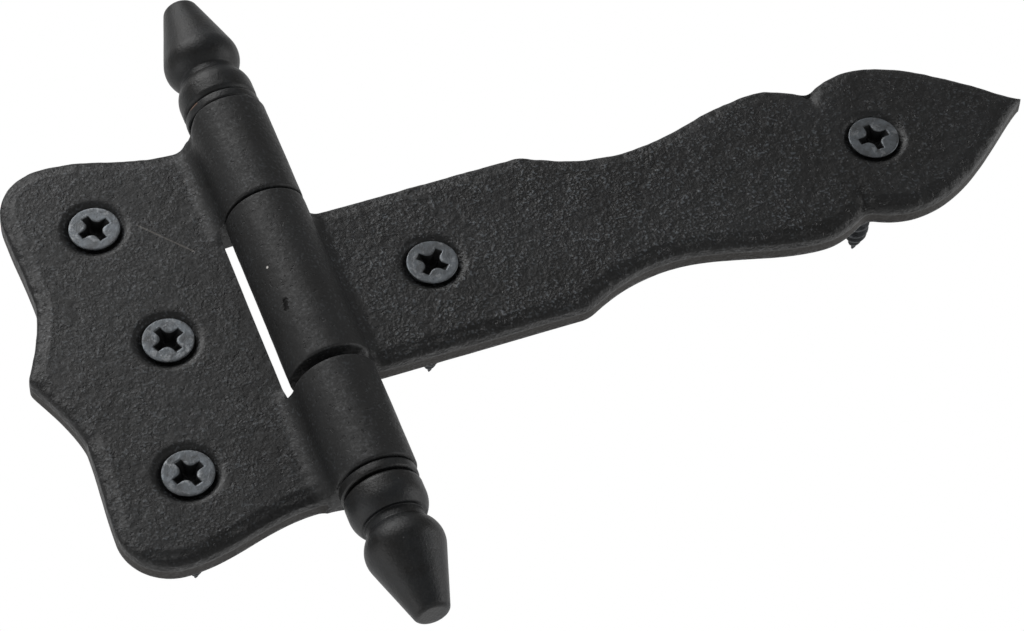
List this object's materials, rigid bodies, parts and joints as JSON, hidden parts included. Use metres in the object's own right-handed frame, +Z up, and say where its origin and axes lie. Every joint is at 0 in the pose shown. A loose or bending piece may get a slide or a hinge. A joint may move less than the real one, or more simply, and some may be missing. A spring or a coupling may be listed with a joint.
{
  "type": "t hinge",
  "caption": "Cast iron T hinge: scalloped jamb leaf, spearhead strap leaf, knuckles on a pin with turned acorn finials, countersunk wood screws.",
  "frame": {"origin": "on the mounting surface, straight behind the pin's centre line, level with the middle of the jamb leaf", "axes": "+X along the strap towards its tip, +Y into the wood behind the hinge, +Z up along the pin; the front faces -Y"},
  "size_m": [0.1655, 0.0385, 0.1192],
  "materials": {
    "black_cast_iron": "satin black, with a fine sand-cast grain",
    "black_turned_iron": "satin black, smooth turned",
    "pin_steel": "dark drawn steel",
    "screw_steel": "blue-grey satin steel"
  },
  "bodies": {
    "jamb": {"jamb_leaf": "black_cast_iron", "jamb_screw_top": "screw_steel", "jamb_screw_middle": "screw_steel", "jamb_screw_bottom": "screw_steel"},
    "strap": {"strap_leaf": "black_cast_iron", "strap_screw_root": "screw_steel", "strap_screw_tip": "screw_steel"},
    "pin": {"hinge_pin": "pin_steel", "top_finial": "black_turned_iron", "bottom_finial": "black_turned_iron"},
    "top_washer": {"top_washer": "black_turned_iron"},
    "bottom_washer": {"bottom_washer": "black_turned_iron"}
  },
  "joints": [
    {"name": "strap_swing", "type": "hinge", "parent": "jamb", "child": "strap", "pos_m": [0, -0.0065, 0], "axis": [0, 0, -1], "range_deg": [-60, 180]},
    {"name": "pin_turn", "type": "hinge", "parent": "jamb", "child": "pin", "pos_m": [0, -0.0065, 0], "axis": [0, 0, 1], "continuous": true},
    {"name": "top_washer_turn", "type": "hinge", "parent": "pin", "child": "top_washer", "pos_m": [0, -0.0065, 0.0365], "axis": [0, 0, 1], "continuous": true},
    {"name": "bottom_washer_turn", "type": "hinge", "parent": "pin", "child": "bottom_washer", "pos_m": [0, -0.0065, -0.0365], "axis": [0, 0, 1], "continuous": true}
  ]
}
